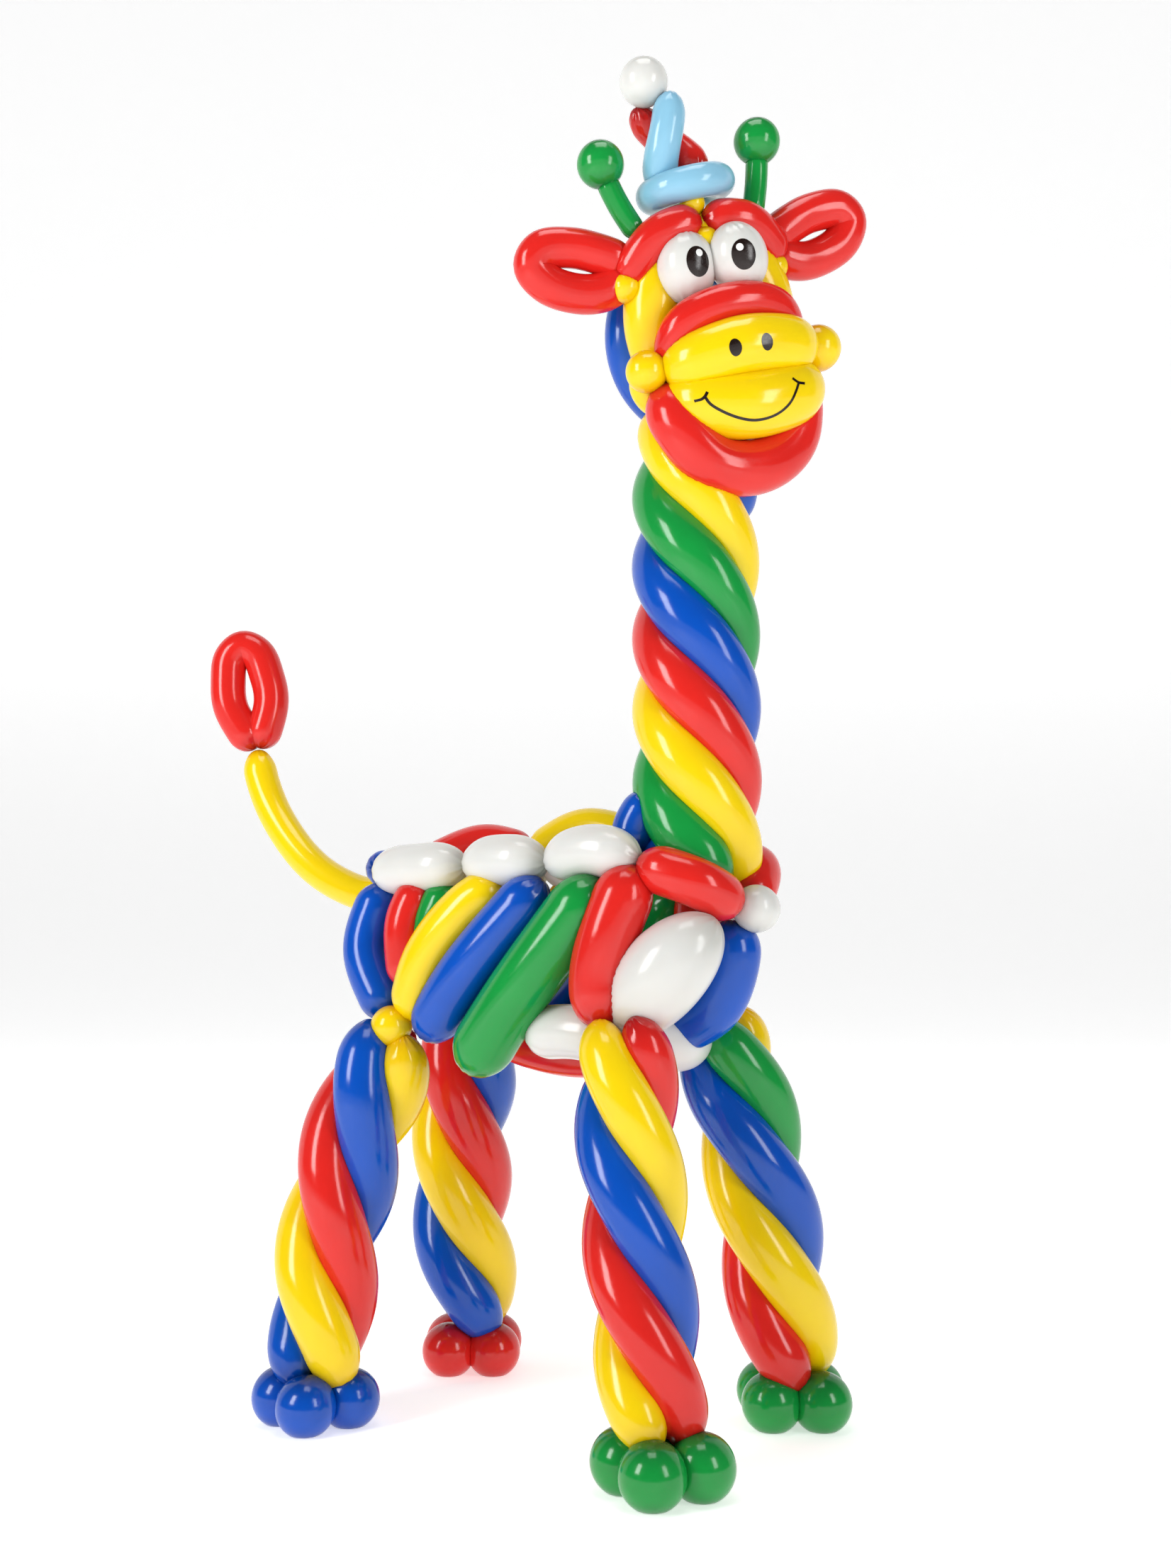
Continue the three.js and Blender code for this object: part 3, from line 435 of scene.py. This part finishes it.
def add_eye(side):
    y = side * EYE_SPACING / 2 - 3
    lean = side * 6
    out = 72 + side * 10
    bubble("eyes_white", [(out, y + lean, EYE_Z - EYE_HEIGHT / 2), (out, y - lean, EYE_Z + EYE_HEIGHT / 2)],
           EYE_WIDTH / 2, end=1.17, held=HEAD)


def add_ear(side):
    """An ear: one bubble folded over at its outer end, its two arms side by side round a slit."""
    lift = 10 if side == RIGHT else 0
    fold = EAR_REACH - EAR_RADIUS
    arms = {up: [
        (10, side * 112, 84 + up * 4),
        (8, side * (fold - 104), 84 + up * 29 + lift * 0.2),
        (4, side * (fold - 64), 90 + up * 35 + lift * 0.5),
        (2, side * (fold - 17), 99 + up * 25 + lift * 0.9),
    ] for up in (1, -1)}
    tip = (0, side * fold, 103 + lift)
    bubble("brow_and_ears_red", arms[1] + [tip] + arms[-1][::-1], EAR_RADIUS, held=HEAD)


def add_horns():
    """A horn on each side: a slim stem with a ball on it."""
    for side in (RIGHT, LEFT):
        piece = f"horn_{SIDE_NAMES[side]}_green"
        ball(piece, (0, side * 132, 246), HORN_BALL, held=HEAD)
        bubble(piece, [(20, side * 96, 128), (8, side * 116, 180), (0, side * 130, 230)], HORN_STEM,
               held=HEAD)


def add_tail():
    """The tail, swept up, and its tuft: one bubble folded over at its top."""
    reach = TUFT_WIDTH / 2 - TUFT_RADIUS
    fold = TUFT_HEIGHT - TUFT_RADIUS
    arms = {side: [
        (side * 4, 0, 2),
        (side * reach, 0, TUFT_HEIGHT * 0.38),
        (side * reach * 0.96, 0, TUFT_HEIGHT * 0.6),
        (side * reach * 0.66, 0, fold - 17),
    ] for side in (LEFT, RIGHT)}
    bubble("tail_tuft_red", arms[LEFT] + [(0, 0, fold)] + arms[RIGHT][::-1], TUFT_RADIUS, held=TUFT)
    root = np.array([RAIL_REAR - 48, 0, RAIL_Z - 34])
    way = np.array(TAIL_TIP) - root
    bubble("tail_yellow", [root + way * (back, back, up) for back, up in TAIL_SHAPE], TAIL_RADIUS, end=1.5)


def add_body():
    """The balloons in the middle of the body, and both flanks."""
    ball("chest_ball_white", (CHEST_X, 0, CHEST_Z), CHEST_BALL)
    bubble("back_spine_red", [(-270, 0, SPINE_Z - 8), (-150, 0, SPINE_Z + 24), (-50, 0, SPINE_Z + 4)], 34)
    bubble("back_spine_yellow", [(-46, 0, SPINE_Z + 2), (56, 0, SPINE_Z + 42), (172, 0, SPINE_Z + 18)], 33)
    inner = RAIL_Y - 6
    bubble("back_rear_blue", [(-296, -inner, RAIL_Z), (-318, 0, RAIL_Z + 8), (-296, inner, RAIL_Z)], 32)
    bubble("chest_blue", [(324, 0, 800), (326, 0, 740), (294, 0, 668), (205, 0, 622)], 44)
    for side in (RIGHT, LEFT):
        add_flank(side, SIDE_NAMES[side])
    chain("belly_white", [
        [(26, -112, BELLY_Z + 4), (110, -120, BELLY_Z + 10), (188, -112, BELLY_Z)],
        [(188, -112, BELLY_Z), (228, 0, BELLY_Z - 12), (188, 112, BELLY_Z)],
        [(188, 112, BELLY_Z), (110, 120, BELLY_Z + 10), (26, 112, BELLY_Z + 4)],
    ], 42)
    bubble("belly_red", [(-225, 40, 650), (-120, 50, 600), (0, 55, 578), (130, 50, 592)], 35)


# Where the two shoulders differ: the places and radius of the white oval, and how much higher the collar runs
SHOULDERS = {
    RIGHT: ([(184, 105, 632), (268, 112, 717), (345, 85, 799)], 66, 0),
    LEFT: ([(188, 104, 614), (232, 106, 712), (278, 78, 814)], 56, 32),
}


def add_flank(side, name):
    """One side of the body, from its rail down: y is the distance from the middle."""
    def at(x, y, z):
        return (x, side * y, z)
    def on_rail(x, out=0, up=0):
        return at(x, RAIL_Y + out, RAIL_Z + up)
    chain(f"back_rail_{name}_white", [
        [on_rail(RAIL_REAR, up=-6), on_rail(-195, 6, -2), on_rail(RAIL_TWIST_1)],
        [on_rail(RAIL_TWIST_1), on_rail(-23, 6, 6), on_rail(RAIL_TWIST_2)],
        [on_rail(RAIL_TWIST_2, up=-4), on_rail(145, 6, 16), on_rail(RAIL_FRONT)],
    ], [42, 42, 41], end=1.5)
    oval_places, oval_radius, lift = SHOULDERS[side]
    bubble(f"chest_oval_{name}_white", [at(*place) for place in oval_places], oval_radius, end=3)
    chain(f"collar_and_shoulder_{name}_red", [
        [at(CHEST_X - 26, 16, CHEST_Z + 2), at(CHEST_X - 48, 92, CHEST_Z + 35 + lift),
         at(RAIL_FRONT - 6, RAIL_Y, RAIL_Z - 4)],
        [at(RAIL_FRONT - 6, RAIL_Y, RAIL_Z - 8), at(190, 138, 780), at(172, 138, 706), at(182, 136, 632)],
    ], [38, 47], end=1.3)
    bubble(f"flank_{name}_blue", [at(-164, 138, 612), at(-64, 156, 724), at(62, 128, 862)], THICK + 5,
           end=1.3)
    bubble(f"flank_{name}_green", [at(-76, 138, 562), at(34, 154, 690), at(168, 128, 862)], THICK + 12,
           end=1.3)
    ball(f"flank_{name}_yellow", at(-213, FLANK_Y, 630), 34)
    bubble(f"flank_{name}_yellow", [
        at(-190, 142, 640), at(-146, 152, 742), at(-84, 140, 816), at(-22, 112, 862),
    ], THICK + 3)
    bubble(f"rear_{name}_red", [at(-182, 118, 866), at(-204, 138, 800), at(-200, 134, 690)], THICK - 3)
    bubble(f"rear_{name}_blue", [at(-274, 108, 866), at(-297, 128, 755), at(-238, 132, 640)], THICK + 1)
    bubble(f"rear_{name}_green", [at(-128, 112, 862), at(-158, 122, 800), at(-166, 118, 710)], THICK - 3)


FRONT = 1
REAR = -1
# Each leg: its foot's colour and turn, its balloons with the twist's phase and the length of one turn, its
# width as a share, how far its top is shifted and its middle bowed along X, its top's height, and the shares
# of the leg where a balloon starts late or stops short
LEGS = [
    {"end": FRONT, "side": RIGHT, "foot": "green", "foot_turn": 16, "balloons": ["blue", "yellow", "red"],
     "phase": 174, "turn": 484, "width": 0.91, "shift": -4, "bow": -8, "top": LEG_TOP,
     "stops": {"blue": 0.9}},
    {"end": REAR, "side": RIGHT, "foot": "blue", "foot_turn": 26, "balloons": ["blue", "yellow", "red"],
     "phase": 259, "turn": 515, "width": 1, "shift": 47, "bow": -37, "top": 626},
    {"end": FRONT, "side": LEFT, "foot": "green", "foot_turn": -12, "balloons": ["blue", "red", "yellow"],
     "phase": 202, "turn": 523, "width": 1, "shift": 0, "bow": 14, "top": LEG_TOP,
     "starts": {"blue": 0.14}},
    {"end": REAR, "side": LEFT, "foot": "red", "foot_turn": -12, "balloons": ["blue", "yellow", "red"],
     "phase": 358, "turn": 509, "width": 1.04, "shift": -12, "bow": -25, "top": LEG_TOP,
     "starts": {"red": 0.14}},
]


def add_leg(leg):
    """A foot of four round bubbles, and three balloons twisted round each other on it."""
    end, side = leg["end"], leg["side"]
    name = f"{'front' if end == FRONT else 'rear'}_{SIDE_NAMES[side]}"
    foot_y = side * STANCE_WIDTH / 2
    bottom = np.array([end * (STANCE_LENGTH / 2 - 4), foot_y, LEG_BOTTOM])
    hip_x = SHOULDER_X if end == FRONT else HIP_X
    hip = np.array([hip_x + leg["shift"], side * LEG_TOP_WIDTH / 2, leg["top"]])
    bows = {0: 0, 1 / 3: leg["bow"], 2 / 3: leg["bow"], 1: 0}
    line = smooth_line([bottom + (hip - bottom) * share + (bow, 0, 0) for share, bow in bows.items()])
    rope = {"line": line, "front": (1, 0, 0), "count": 3, "radius": LEG_RADIUS * leg["width"],
            "balloon": LEG_BALLOON * leg["width"], "turn_length": leg["turn"], "phase": leg["phase"],
            "handed": -1, "slim": slimmer(LEG_SLIM_ANKLE, LEG_SLIM_HIP)}
    foot_z = FOOT_BALL * math.cos(math.radians(SOLE_ANGLE))
    for n in range(4):
        angle = math.radians(leg["foot_turn"] + n * 90)
        x = end * STANCE_LENGTH / 2 + FOOT_SPREAD * math.cos(angle)
        y = foot_y + FOOT_SPREAD * math.sin(angle)
        ball(f"foot_{name}_{leg['foot']}", (x, y, foot_z), FOOT_BALL, sole=True)
    for n, colour in enumerate(leg["balloons"]):
        if end == FRONT and side == LEFT and colour == "red":
            strand(f"leg_{name}_red", rope, n, stop=0.5)
            strand(f"leg_{name}_green", rope, n, start=0.5)
        else:
            strand(f"leg_{name}_{colour}", rope, n, leg.get("starts", {}).get(colour, 0.0),
                   leg.get("stops", {}).get(colour, 1.0))


def add_neck():
    """Four balloons twisted into the neck, of which the red one gives way to blue near the head."""
    line = smooth_line([(NECK_X, 0, NECK_BOTTOM), (NECK_X, 0, NECK_TOP)])
    rope = {"line": line, "front": (1, 0, 0), "count": 4, "radius": NECK_RADIUS, "balloon": NECK_BALLOON,
            "turn_length": NECK_TURN_LENGTH, "phase": NECK_PHASE, "handed": -1,
            "slim": slimmer(0, NECK_SLIM_TOP)}
    for n, colour in enumerate(["yellow", "green", "blue"]):
        strand(f"neck_{colour}", rope, -n)
    strand("neck_red", rope, -3, stop=NECK_CHANGE)
    strand("neck_blue", rope, -3, start=NECK_CHANGE)
    bubble("neck_blue", [(198, -60, 894), (188, -64, 938), (220, -52, 998)], 34)


add_hat()
add_face()
add_muzzle()
add_horns()
add_tail()
add_body()
for one in LEGS:
    add_leg(one)
add_neck()


# Where balloons meet, they press each other flat

def press(balloon, others):
    """Moves each point that is inside a neighbour back to its own middle, to where both give way alike."""
    centres, spokes, reach = balloon["centres"], balloon["spokes"], balloon["reach"]
    far = reach.max() + others[:, 3] + 1
    near = ((centres[:, None] - others[None, :, :3]) ** 2).sum(2) < far[None] ** 2
    for n in range(len(centres)):
        balls = others[near[n]]
        if len(balls) == 0:
            continue

        def outside(out):
            points = centres[n] + spokes[n] * out[:, None]
            gaps = np.sqrt(((points[:, None] - balls[None, :, :3]) ** 2).sum(2)) - balls[None, :, 3]
            return gaps.min(1)
        full = reach[n]
        depth = -outside(full)
        inside = depth > CREASE
        if not inside.any():
            continue
        overlap = PRESSED + (CREASE - PRESSED) * np.exp(-(np.maximum(depth, CREASE) - CREASE) / CREASE)
        low, high = np.zeros_like(full), full.copy()
        for _ in range(PRESS_ROUNDS):
            middle = (low + high) / 2
            free = outside(middle) + (full - middle) + overlap > 0
            low = np.where(free, middle, low)
            high = np.where(free, high, middle)
        reach[n] = np.where(inside, low, full)


fields = [one["field"] for one in balloons]
for n, one in enumerate(balloons):
    press(one, np.concatenate(fields[:n] + fields[n + 1:]))


# Skins

def skin_of(balloon):
    """The points and faces of one balloon's skin."""
    points = balloon["centres"][:, None] + balloon["spokes"] * balloon["reach"][:, :, None]
    rings, sides = points.shape[:2]
    shade = np.repeat(balloon["fullness"], sides)
    points = points.reshape(-1, 3)
    ring_of = np.arange(rings if balloon["closed"] else rings - 1)
    a = (ring_of[:, None] * sides + np.arange(sides)[None])
    b = (ring_of[:, None] * sides + (np.arange(sides)[None] + 1) % sides)
    c = ((ring_of[:, None] + 1) % rings * sides + (np.arange(sides)[None] + 1) % sides)
    d = ((ring_of[:, None] + 1) % rings * sides + np.arange(sides)[None])
    return points, np.stack([a, b, c, d], axis=2).reshape(-1, 4), shade


skins = {}
for one in balloons:
    points, faces, shade = skin_of(one)
    skins.setdefault(one["piece"], []).append((points * MM + STANDS_AT, faces, shade))


# Latex

def linear(code):
    """An sRGB hex value as linear light."""
    parts = [int(code[n:n + 2], 16) / 255 for n in (1, 3, 5)]
    return [c / 12.92 if c <= 0.04045 else ((c + 0.055) / 1.055) ** 2.4 for c in parts] + [1.0]


def node(tree, kind, settings=None, links=None):
    """Adds a node with its settings, and links sockets of other nodes to its inputs."""
    made = tree.nodes.new(kind)
    for name, value in (settings or {}).items():
        if name in made.inputs:
            made.inputs[name].default_value = value
        else:
            setattr(made, name, value)
    for name, source in (links or {}).items():
        tree.links.new(source, made.inputs[name])
    return made


def natural_rubber_latex(name, full, slack, roughness=0.15, sheen=0.0, glow=0.05):
    """Natural-rubber latex, glossy when it is blown up: paler where it is stretched, deeper at the twists."""
    material = bpy.data.materials.new(name)
    material.use_nodes = True
    tree = material.node_tree
    tree.nodes.clear()
    fullness = node(tree, "ShaderNodeAttribute", {"attribute_name": "fullness"})
    place = node(tree, "ShaderNodeTexCoord")
    clouds = node(tree, "ShaderNodeTexNoise", {"Scale": 9.0, "Detail": 3.0, "Roughness": 0.55},
                  {"Vector": place.outputs["Object"]})
    stretch = node(tree, "ShaderNodeMapRange",
                   {"From Min": 0.15, "From Max": 0.95, "To Min": 0.0, "To Max": 0.92},
                   {"Value": fullness.outputs["Fac"]})
    mottle = node(tree, "ShaderNodeMapRange",
                  {"From Min": 0.3, "From Max": 0.7, "To Min": -0.06, "To Max": 0.08},
                  {"Value": clouds.outputs["Fac"]})
    share = node(tree, "ShaderNodeMath", {"operation": "ADD", "use_clamp": True})
    tree.links.new(stretch.outputs["Result"], share.inputs[0])
    tree.links.new(mottle.outputs["Result"], share.inputs[1])
    colour = node(tree, "ShaderNodeMix", {"data_type": "RGBA"})
    tree.links.new(share.outputs["Value"], colour.inputs["Factor"])
    colour.inputs[6].default_value = linear(slack)
    colour.inputs[7].default_value = linear(full)
    ripples = node(tree, "ShaderNodeTexNoise", {"Scale": 38.0, "Detail": 2.0},
                   {"Vector": place.outputs["Object"]})
    uneven = node(tree, "ShaderNodeBump", {"Strength": 0.05, "Distance": 0.0008},
                  {"Height": ripples.outputs["Fac"]})
    bloom = node(tree, "ShaderNodeTexNoise", {"Scale": 160.0, "Detail": 4.0},
                 {"Vector": place.outputs["Object"]})
    gloss = node(tree, "ShaderNodeMapRange", {"From Min": 0.3, "From Max": 0.75, "To Min": roughness - 0.03,
                                              "To Max": roughness + 0.06}, {"Value": bloom.outputs["Fac"]})
    latex = node(tree, "ShaderNodeBsdfPrincipled",
                 {"IOR": 1.52, "Specular IOR Level": 0.45, "Sheen Weight": sheen, "Subsurface Weight": glow,
                  "Subsurface Scale": 0.02, "Subsurface Radius": (1.0, 0.6, 0.4)},
                 {"Base Color": colour.outputs[2], "Roughness": gloss.outputs["Result"],
                  "Normal": uneven.outputs["Normal"]})
    node(tree, "ShaderNodeOutputMaterial", None, {"Surface": latex.outputs["BSDF"]})
    return material


def printed_ink(name, colour):
    """Solvent ink printed on the blown-up latex: nearly black, as glossy as the skin under it."""
    material = bpy.data.materials.new(name)
    material.use_nodes = True
    tree = material.node_tree
    tree.nodes.clear()
    place = node(tree, "ShaderNodeTexCoord")
    grain = node(tree, "ShaderNodeTexNoise", {"Scale": 420.0, "Detail": 3.0},
                 {"Vector": place.outputs["Object"]})
    depth = node(tree, "ShaderNodeMapRange",
                 {"From Min": 0.3, "From Max": 0.7, "To Min": 0.12, "To Max": 0.3},
                 {"Value": grain.outputs["Fac"]})
    ink = node(tree, "ShaderNodeBsdfPrincipled", {"Base Color": linear(colour), "IOR": 1.5},
               {"Roughness": depth.outputs["Result"]})
    node(tree, "ShaderNodeOutputMaterial", None, {"Surface": ink.outputs["BSDF"]})
    return material


LATEX = {
    "yellow": natural_rubber_latex("natural_rubber_latex_yellow", "#FBD906", "#DFA300"),
    "red": natural_rubber_latex("natural_rubber_latex_red", "#E4261F", "#8A0610"),
    "blue": natural_rubber_latex("natural_rubber_latex_blue", "#0052C0", "#00246A"),
    "light_blue": natural_rubber_latex("natural_rubber_latex_light_blue", "#93CAE4", "#5A97BE"),
    "green": natural_rubber_latex("natural_rubber_latex_green", "#129A40", "#065A24"),
    "white": natural_rubber_latex("natural_rubber_latex_pearl_white", "#E2E2DE", "#BFBFB7", 0.18, 0.1, 0.1),
}
INK = printed_ink("printed_ink_dark_brown", "#1C0E0A")
DOT = printed_ink("printed_ink_white", "#F2F2F0")


def colour_of(piece):
    """The colour that a piece's name ends in."""
    return next(c for c in ("light_blue", "yellow", "red", "blue", "green", "white") if piece.endswith(c))


# Printed face

# The thickness of a print, that of a dot printed over another, and a distance well in front of the face
PRINT = 0.45
OVERPRINT = 0.9
IN_FRONT = 320


def print_on(surface, outline, lift=PRINT):
    """Lays flat points of the face's own plane on the skin under them, as a thin print."""
    turn, place = HEAD
    forward = Vector(turn @ np.array([1.0, 0, 0]))
    laid = []
    for y, z in outline:
        start = (turn @ np.array([IN_FRONT, y, z]) + place) * MM + STANDS_AT
        hit, normal, _, _ = surface.ray_cast(Vector(start), -forward)
        laid.append(hit + normal * lift * MM)
    return laid


def oval(surface, y, z, width, height, lift=PRINT):
    """A printed oval, as rings of points around its middle."""
    points, faces = [(y, z)], []
    rings, sides = 6, 40
    for r in range(1, rings + 1):
        for s in range(sides):
            a = 2 * math.pi * s / sides
            points.append((y + width / 2 * r / rings * math.cos(a), z + height / 2 * r / rings * math.sin(a)))
    for s in range(sides):
        faces.append((0, 1 + s, 1 + (s + 1) % sides))
        for r in range(rings - 1):
            a, b = 1 + r * sides + s, 1 + r * sides + (s + 1) % sides
            faces.append((a, a + sides, b + sides, b))
    return print_on(surface, points, lift), faces


def drawn_line(surface, places, width):
    """A printed line of even width through a few places."""
    line = smooth_line([(0, y, z) for y, z in places])[:, 1:]
    along = np.gradient(line, axis=0)
    along /= np.linalg.norm(along, axis=1)[:, None]
    beside = np.stack([-along[:, 1], along[:, 0]], axis=1)
    points = []
    for p, s in zip(line, beside):
        points += [tuple(p - s * width / 2), tuple(p), tuple(p + s * width / 2)]
    faces = []
    for n in range(len(line) - 1):
        for k in (0, 1):
            a = n * 3 + k
            faces.append((a, a + 3, a + 4, a + 1))
    return print_on(surface, points), faces


def surface_of(piece):
    """A piece's whole skin, for rays."""
    points, faces = [], []
    for more_points, more_faces, _ in skins[piece]:
        faces += [tuple(int(i) + len(points) for i in face) for face in more_faces]
        points += [Vector(p) for p in more_points]
    return BVHTree.FromPolygons(points, faces)


# The prints' places across and up the face
PUPILS = [(-38, 71), (30, 69)]
PUPIL_DOTS = [(-34, 83), (25, 80)]
NOSTRILS = [(-27, -67), (24, -67)]
SMILE = [(-82, -131), (-77, -142), (-62, -156), (-39, -170), (-15, -178), (10, -178), (31, -172), (48, -161),
         (60, -147), (69, -135)]
SMILE_ENDS = [[(-97, -134), (-87, -133), (-82, -130), (-77, -124)],
              [(60, -127), (65, -132), (69, -135), (80, -138)]]


def face_prints():
    eyes = surface_of("eyes_white")
    muzzle = surface_of("muzzle_yellow")
    prints = {"eyes_white": [], "muzzle_yellow": []}
    for y, z in PUPILS:
        prints["eyes_white"].append((oval(eyes, y, z, 37, 46), INK))
    for y, z in PUPIL_DOTS:
        prints["eyes_white"].append((oval(eyes, y, z, 11, 11, lift=OVERPRINT), DOT))
    for y, z in NOSTRILS:
        prints["muzzle_yellow"].append((oval(muzzle, y, z, 19, 26), INK))
    for places in [SMILE] + SMILE_ENDS:
        prints["muzzle_yellow"].append((drawn_line(muzzle, places, 4), INK))
    return prints


# Pieces

def make_piece(piece, prints):
    """One object of all skins and prints of a piece, in place of its solid."""
    colour = colour_of(piece)
    points, faces, shades, kinds = [], [], [], []
    for skin_points, skin_faces, shade in skins[piece]:
        faces += (skin_faces + len(points)).tolist()
        points += skin_points.tolist()
        shades += shade.tolist()
        kinds += [0] * len(skin_faces)
    materials = [LATEX[colour]]
    for (laid, print_faces), ink in prints:
        if ink not in materials:
            materials.append(ink)
        faces += [tuple(i + len(points) for i in face) for face in print_faces]
        points += [tuple(p) for p in laid]
        shades += [1.0] * len(laid)
        kinds += [materials.index(ink)] * len(print_faces)
    mesh = bpy.data.meshes.new(piece + "_skin")
    mesh.from_pydata(points, [], faces)
    mesh.attributes.new("fullness", "FLOAT", "POINT").data.foreach_set("value", shades)
    for material in materials:
        mesh.materials.append(material)
    mesh.polygons.foreach_set("material_index", kinds)
    mesh.polygons.foreach_set("use_smooth", [True] * len(faces))
    mesh.validate()
    mesh.update()
    made = bpy.data.objects.new(piece + "_skin", mesh)
    bpy.context.scene.collection.objects.link(made)
    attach(made, "root")
    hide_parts(piece)


prints = face_prints()
for piece in skins:
    make_piece(piece, prints.get(piece, []))


# Studio

# The paper in metres: how far it reaches, where it bends up, the radius of the bend and its height
PAPER_REACH = 60
PAPER_BEND = 9
PAPER_CURVE = 4
PAPER_HEIGHT = 40


def sweep_paper():
    """Matt white background paper."""
    material = bpy.data.materials.new("background_paper_white")
    material.use_nodes = True
    tree = material.node_tree
    tree.nodes.clear()
    paper = node(tree, "ShaderNodeBsdfPrincipled",
                 {"Base Color": linear("#F6F6F6"), "Roughness": 0.9, "Emission Color": (1, 1, 1, 1),
                  "Emission Strength": 0.56})
    node(tree, "ShaderNodeOutputMaterial", None, {"Surface": paper.outputs["BSDF"]})
    return material


def add_stage():
    """Background paper: a floor that sweeps up into a wall far behind."""
    profile = [(-PAPER_REACH, 0), (PAPER_BEND, 0)]
    for n in range(1, 13):
        a = n / 12 * math.pi / 2
        profile.append((PAPER_BEND + PAPER_CURVE * math.sin(a), PAPER_CURVE * (1 - math.cos(a))))
    profile.append((PAPER_BEND + PAPER_CURVE, PAPER_HEIGHT))
    view = math.atan2(CAMERA_AIM[1], CAMERA_AIM[0])
    forward = Vector((math.cos(view), math.sin(view), 0))
    beside = Vector((-math.sin(view), math.cos(view), 0))
    points, faces = [], []
    for out, height in profile:
        for side in (-PAPER_REACH, PAPER_REACH):
            points.append(forward * out + beside * side + Vector((0, 0, height)))
    for n in range(len(profile) - 1):
        faces.append((2 * n, 2 * n + 1, 2 * n + 3, 2 * n + 2))
    mesh = bpy.data.meshes.new("background_paper")
    mesh.from_pydata(points, [], faces)
    mesh.polygons.foreach_set("use_smooth", [True] * len(faces))
    mesh.materials.append(sweep_paper())
    paper = bpy.data.objects.new("background_paper", mesh)
    bpy.context.scene.collection.objects.link(paper)


def add_softbox(name, place, target, width, height, power):
    """A soft rectangular lamp, in metres and watts, turned to its target."""
    light = bpy.data.lights.new(name, "AREA")
    light.shape = "RECTANGLE"
    light.size = width
    light.size_y = height
    light.energy = power
    lamp = bpy.data.objects.new(name, light)
    lamp.location = place
    lamp.rotation_euler = (Vector(target) - Vector(place)).to_track_quat("-Z", "Y").to_euler()
    bpy.context.scene.collection.objects.link(lamp)


# The photograph's camera: its focal length and the picture's height are in pixels, its sensor in millimetres
CAMERA_PLACE = (1499.9, -2245.6, 745.0)
CAMERA_AIM = (-0.5373, 0.8369, 0.1045)
FOCAL_PIXELS = 2300
PHOTO_HEIGHT = 2213
SENSOR = 36


def add_camera():
    lens = bpy.data.cameras.new("camera")
    lens.sensor_width = SENSOR
    lens.lens = FOCAL_PIXELS / PHOTO_HEIGHT * SENSOR
    lens.clip_end = 200
    camera = bpy.data.objects.new("camera", lens)
    camera.location = Vector(np.array(CAMERA_PLACE) * MM + STANDS_AT)
    camera.rotation_euler = Vector(CAMERA_AIM).to_track_quat("-Z", "Y").to_euler()
    bpy.context.scene.collection.objects.link(camera)
    bpy.context.scene.camera = camera


add_camera()
add_stage()
lit_middle = (0.15, 0, 1.1)
add_softbox("softbox_left", (-1.1, -3.6, 2.3), lit_middle, 1.1, 2.2, 84)
add_softbox("softbox_right", (3.9, -0.9, 1.9), lit_middle, 0.9, 2.2, 44)
add_softbox("softbox_top", (0.6, -0.6, 4.6), lit_middle, 1.6, 1.6, 32)
world = bpy.data.worlds.new("studio")
bpy.context.scene.world = world
world.use_nodes = True
world.node_tree.nodes["Background"].inputs["Color"].default_value = (1, 1, 1, 1)
world.node_tree.nodes["Background"].inputs["Strength"].default_value = 0.12
bpy.context.scene.view_settings.view_transform = "Standard"
